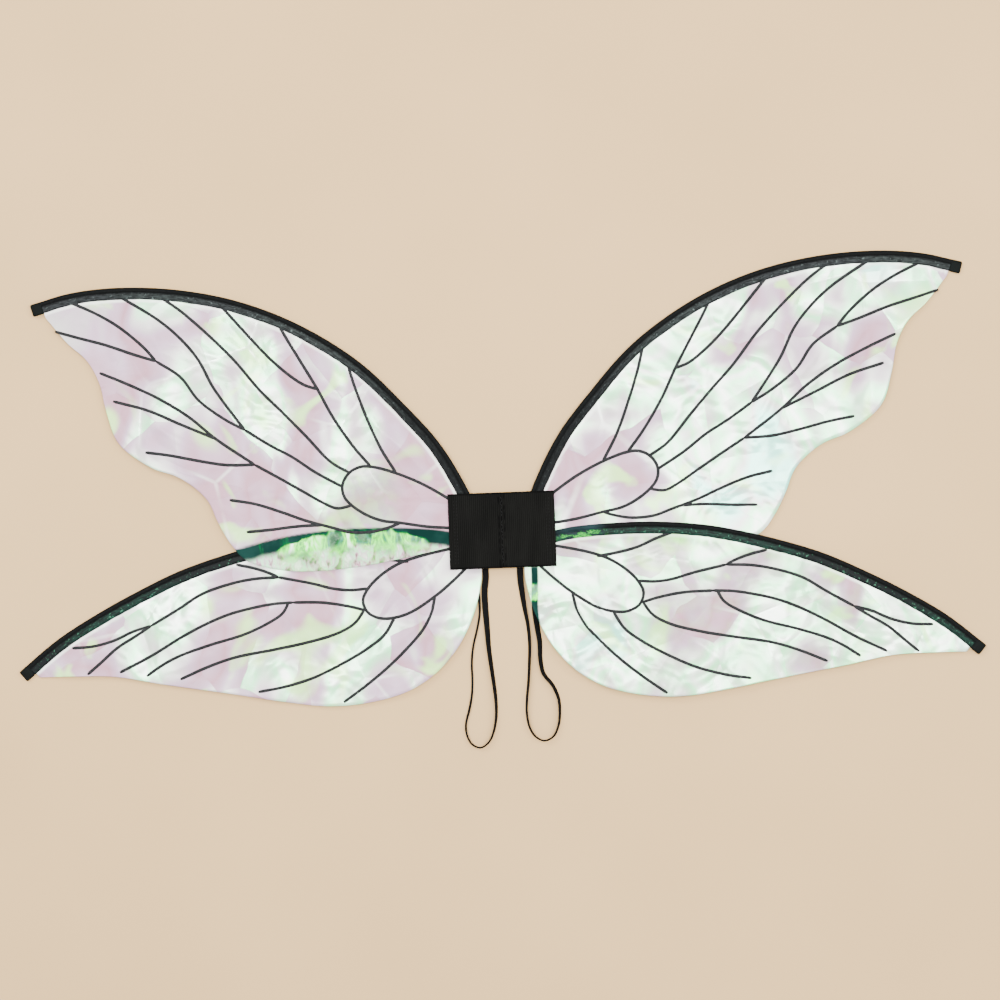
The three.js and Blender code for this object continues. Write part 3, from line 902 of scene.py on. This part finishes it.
def overlap(wing, points, others):
    """Where the film lies on something black, where painted reflections glint on it, and where the film is crinkled.
    """
    contact, glow, crinkle = np.zeros((3, len(points)))
    ragged = (noise_at(points, 0.012, 5.0) * 2.0 + noise_at(points, 0.04, 9.0) * 4.0) * MM
    from_centre = np.abs(points[:, 0])
    if wing.name == "upper_left":  # over the lower wing's binding
        spar = others["lower_left"].spar
        far, nearest = from_line(points, spar)
        below = spar[nearest][:, 1] - points[:, 1]
        near = far < 60 * MM
        on_tape = smooth(below, -4.6 * MM, -2.6 * MM) * (1 - smooth(below + ragged, 9 * MM, 15 * MM))
        lower = smooth(below, -3 * MM, 9 * MM)
        left_end = 1 - smooth(from_centre - lower * 34 * MM, 160 * MM, 188 * MM)
        right_end = smooth(from_centre + lower * 30 * MM, 88 * MM, 112 * MM)
        contact = on_tape * near
        # painted glints over the tape: strongest below it and in its middle, fading at both ends and away from it
        fading = 1 - 0.6 * smooth(below + ragged, 15 * MM, 24 * MM)
        glow = left_end * right_end * (0.24 + 0.6 * lower) * near * fading
        crinkle = smooth(below, -2 * MM, 4 * MM) * near
    if wing.name == "lower_right":  # over the arm loop
        far, _ = from_line(points, LOOP_LINES["right"])
        down = PANEL_BOTTOM - points[:, 1]
        contact = (1 - smooth(far, 2.6 * MM, 4.2 * MM)) * smooth(down, -2 * MM, 0)
        # painted reflections: a glare patch round the strands below the panel, and a band along the hem
        patch = bell(down, 24 * MM, 9 * MM) * (1 - smooth(from_centre, 30 * MM, 42 * MM))
        past_hem, _ = from_line(points, wing.spar[::2])
        rim = bell(past_hem, 14 * MM, 5 * MM) * bell(from_centre, 200 * MM, 60 * MM)
        glow = 0.1 - 0.35 * contact + 0.9 * patch + 0.5 * rim
        crinkle = (1 - smooth(from_centre, 26 * MM, 40 * MM)) * 0.5
    return {"contact": contact, "glow": glow, "crinkle": crinkle}


def vein_ribbons(wing):
    """The printed veins: thin strips with rounded ends that show on both faces of the film."""
    points, faces = [], []
    for design in VEINS[wing.which]:
        line = wing.lay(through(design, 10))
        length = steps_of(line).sum()
        line = spaced(line, max(8, int(length / VEIN_STEP)))
        surface = wing.surface(line)
        along = tangents(line)
        across = np.column_stack([-along[:, 1], along[:, 0], np.zeros(len(along))])
        at = np.linspace(0, length, len(line))
        taper = np.sqrt(np.clip(np.minimum(at, length - at) / (0.8 * MM), 0.4, 1))
        wobble = 1 + 0.10 * noise_at(line, 0.02, wing.seed)
        half = VEIN_WIDTH / 2 * taper * wobble
        section = [(-1, -0.55), (-0.8, -1), (0.8, -1), (1, -0.55), (1, 0.55), (0.8, 1), (-0.8, 1), (-1, 0.55)]
        rings = [
            surface[i] + np.array([across[i] * (u * half[i]) + (0, 0, v * VEIN_HALF_HEIGHT) for u, v in section])
            for i in range(len(line))
        ]
        made, joined = swept(rings)
        faces += [tuple(len(points) + k for k in f) for f in joined]
        points += list(made)
    piece = new_mesh("veins_" + wing.name, points, faces, VEIN)
    face_out(piece)
    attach(piece, wing.name + "_wing")
    return piece


def binding_profile():
    """The binding's section as (towards the film, up): a folded tube, then a flat hem."""
    join = math.asin(HEM_HALF_HEIGHT / TUBE_HALF_HEIGHT)
    profile, hem = [], []
    for k in range(TUBE_SIDES + 1):
        a = join + (2 * math.pi - 2 * join) * k / TUBE_SIDES
        profile.append((TUBE_HALF_WIDTH * math.cos(a) + 0.5 * MM, TUBE_HALF_HEIGHT * math.sin(a)))
        hem.append(0.0)
    lower = [(0.42, -1), (0.7, -0.9), (0.95, -0.8), (1, -0.3)]
    for reach, height in lower + [(reach, -height) for reach, height in reversed(lower)]:
        profile.append((HEM_REACH * reach, HEM_HALF_HEIGHT * height))
        hem.append(1.0)
    return profile, hem


def beside_spar(wing, inward, share):
    """Points on the hem's upper face, where the stitches go, at shares of the spar's length."""
    whole = np.linspace(0, 1, len(wing.spar))
    at = np.stack([np.interp(share, whole, wing.spar[:, k]) for k in (0, 1)], axis=1)
    across = np.stack([np.interp(share, whole, inward[:, k]) for k in (0, 1)], axis=1)
    return np.column_stack([at + across * HEM_STITCH_REACH, wing.plane(at) + HEM_STITCH_RISE])


def binding_tape(wing):
    """The folded tape along the wire, its hem a little uneven, and the row of stitches between the two."""
    profile, hem = binding_profile()
    spar = wing.spar
    along = tangents(spar)
    inward = np.column_stack([along[:, 1], -along[:, 0]]) * wing.sign
    height = wing.plane(spar)
    length = steps_of(spar).sum()
    uneven = 1 + 0.05 * noise_at(spar, 0.03, wing.seed + 3) + 0.03 * noise_at(spar, 0.008, wing.seed + 5)
    rings = []
    for i in range(SPAR_HIDDEN_STEPS, len(spar)):
        ring = []
        for reach, up in profile:
            reach = reach * uneven[i] if reach > TUBE_HALF_WIDTH + 0.6 * MM else reach
            ring.append((*(spar[i] + inward[i] * reach), height[i] + up))
        rings.append(np.array(ring))
    piece = new_mesh("binding_tape_" + wing.name, *swept(rings), BINDING[wing.which])
    face_out(piece)
    at = np.repeat(np.linspace(0, 1, len(rings)), len(profile))
    shown = np.tile(hem, len(rings))
    # On the upper wings the hem's painted sheen and glints fade out towards the root.
    if wing.which == "upper":
        shown *= 0.25 + 0.75 * smooth(at, 0.12, 0.5)
    paint(piece, "hem", [*shown, 0.5, 0.5])
    paint(piece, "run", [*(at * length), 0.0, length])
    paint(piece, "reach", [*np.tile([reach for reach, _ in profile], len(rings)), 0.0, 0.0])
    # A painted film reflection on the lower right wing's tape near the panel: slate with green glints.
    veil = np.zeros(len(at) + 2)
    if wing.name == "lower_right":
        veil[: len(at)] = smooth(at, 0.02, 0.06) * (1 - smooth(at, 0.11, 0.15))
    paint(piece, "veil", veil)
    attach(piece, wing.name + "_wing")
    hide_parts("binding_" + wing.name)

    starts = np.linspace(0.03, 0.985, int(length / HEM_STITCH_STEP))
    ends = starts + HEM_STITCH_LENGTH / length
    row = [beside_spar(wing, inward, share) for share in (starts, ends)]
    seam = beads("hem_stitches_" + wing.name, *row, HEM_STITCH_RADIUS, THREAD)
    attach(seam, wing.name + "_wing")
    return piece


def tip_sleeve(wing):
    """The squared end of the tape: a soft flat sleeve, pinched where it joins the binding."""
    middle = np.mean(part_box("tip_cap_" + wing.name), axis=0)[:2]
    end, before = wing.spar[-1], wing.spar[-12]
    along = (end - before) / np.linalg.norm(end - before)
    inward = np.array([along[1], -along[0]]) * wing.sign
    rings = []
    for t in np.linspace(0, 1, SLEEVE_RINGS):
        u = 2 * t - 1
        rounding = (1 - abs(u) ** 9) ** 0.5
        pinch = 0.93 + 0.07 * smooth(t, 0.0, 0.25)
        crimp = 1 - 0.16 * bell(t, 0.2, 0.05) - 0.10 * bell(t, 0.8, 0.05)
        centre = middle + along * u * SLEEVE_HALF_LENGTH
        ring = []
        for across, up in squared_circle(SLEEVE_SIDES, 0.4, 0.7):
            wide = across * SLEEVE_HALF_WIDTH * pinch * (0.75 + 0.25 * rounding)
            tall = up * SLEEVE_HALF_HEIGHT * crimp * max(rounding, 0.12)
            place = centre + inward * wide
            ring.append((*place, wing.plane(place[None])[0] + tall))
        rings.append(np.array(ring))
    piece = new_mesh("tip_sleeve_" + wing.name, *swept(rings), VINYL)
    face_out(piece)
    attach(piece, wing.name + "_wing")
    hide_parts("tip_cap_" + wing.name)


WINGS = {f"{which}_{side}": Wing(which, side) for side in SIGN for which in TIP}
for wing in WINGS.values():
    skin = film_skin(wing, WINGS)
    tape = binding_tape(wing)
    tip_sleeve(wing)
    veins = vein_ribbons(wing)


# ---- panel ----
def webbing_layer(name, side, low, high, face):
    """Half of a webbing layer: upright ribs on the side that shows, and edges that close towards the other layer."""
    sign = SIGN[side]
    columns, rows = WEBBING_GRID
    x = np.linspace(0, PANEL_HALF_WIDTH, columns)
    y = np.linspace(PANEL_BOTTOM, PANEL_TOP, rows)
    grid_x, grid_y = np.meshgrid(x, y, indexing="ij")
    from_side = PANEL_HALF_WIDTH - grid_x
    from_end = np.minimum(grid_y - PANEL_BOTTOM, PANEL_TOP - grid_y)
    ribs = RIB_HEIGHT * np.cos(2 * math.pi * grid_x / RIB_PITCH)
    spots = np.column_stack([grid_x.ravel() * sign, grid_y.ravel()])
    sag = 0.35 * MM * noise_at(spots, 0.03, 2.0 + face).reshape(grid_x.shape)
    close = 1.0 * MM * (1 - smooth(from_side, 0, 7 * MM)) + 0.5 * MM * (1 - smooth(from_end, 0, 5 * MM))
    gutter = 0.45 * MM * bell(grid_x, 0, 1.4 * MM)
    edge = np.minimum(from_side, from_end)
    rounding = 0.5 * (high - low) * (1 - np.sqrt(np.clip(edge / (0.7 * MM), 0, 1)))
    wave = 0.35 * MM * noise_at(spots, 0.018, 6.0).reshape(grid_x.shape) * (1 - smooth(from_side, 0, 3 * MM))
    if face > 0:
        outer = high + ribs + sag * 0.5 - close - gutter - rounding
        inner = low - close + sag * 0.3 + rounding
    else:
        outer = low + rounding + np.maximum(ribs, 0) + 0.02 * MM
        inner = high + close * 0.8 - rounding
    px = (grid_x + wave) * sign
    heights = [np.maximum(outer, inner), np.minimum(outer, inner)]
    points = np.vstack([np.column_stack([px.ravel(), grid_y.ravel(), z.ravel()]) for z in heights])
    piece = new_mesh(f"{name}_{side}", points, sheet_faces(columns, rows), WEBBING)
    face_out(piece)
    folded = 1 - smooth(from_end, 1.2 * MM, 2.6 * MM)
    stitched = bell(grid_x, 2.6 * MM, 0.5 * MM) + bell(grid_x, 0.2 * MM, 0.5 * MM)
    broken = smooth(noise_at(spots, 0.004, 21.0).reshape(grid_x.shape), -0.35, 0.1)
    paint(piece, "seam", np.tile(np.clip(0.6 * folded + stitched * broken, 0, 1).ravel(), 2))
    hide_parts(f"panel_{'front' if face > 0 else 'back'}_{side}")
    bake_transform(piece)


def centre_seam():
    """A broken zigzag of thread down the middle of the front layer."""
    y = np.linspace(PANEL_BOTTOM + 4 * MM, PANEL_TOP - 4 * MM, SEAM_POINTS)
    side = np.where(np.arange(SEAM_POINTS) % 2, 1.0, -1.0) * SEAM_HALF_WIDTH
    row = np.column_stack([side, y, np.full(SEAM_POINTS, FRONT_HIGH - 0.1 * MM)])
    kept = [i for i in range(SEAM_POINTS - 1) if i not in SEAM_BREAKS]
    piece = beads("centre_seam_stitches", row[kept], row[[i + 1 for i in kept]], SEAM_RADIUS, THREAD)
    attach(piece, "centre_seam")


def panel_stitches(side):
    """The rows that close the panel's side and hold the wing roots."""
    sign = SIGN[side]
    starts = np.array([
        ((PANEL_HALF_WIDTH - inset) * sign, y, FRONT_HIGH - 0.05 * MM)
        for inset in PANEL_STITCH_ROWS
        for y in np.arange(PANEL_BOTTOM + 5 * MM, PANEL_TOP - 6 * MM, PANEL_STITCH_STEP)
    ])
    ends = starts + np.array([0, PANEL_STITCH_LENGTH, 0])
    piece = beads(f"panel_stitches_{side}", starts, ends, PANEL_STITCH_RADIUS, THREAD)
    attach(piece, f"{side}_half")


for side in SIGN:
    webbing_layer("front_webbing", side, FRONT_LOW, FRONT_HIGH, 1)
    webbing_layer("back_webbing", side, 0.0, BACK_HIGH, -1)
    panel_stitches(side)
centre_seam()

# ---- CAD pieces that stay as they are ----
CARRIED = {"wire_": STEEL, "root_tack_": THREAD, "strap_end_": ELASTIC, "centre_seam_tape": WEBBING}
for node_name, node in frame["nodes"].items():
    for start, material in CARRIED.items():
        if node_name.startswith(start):
            node.data.materials.clear()
            node.data.materials.append(material)
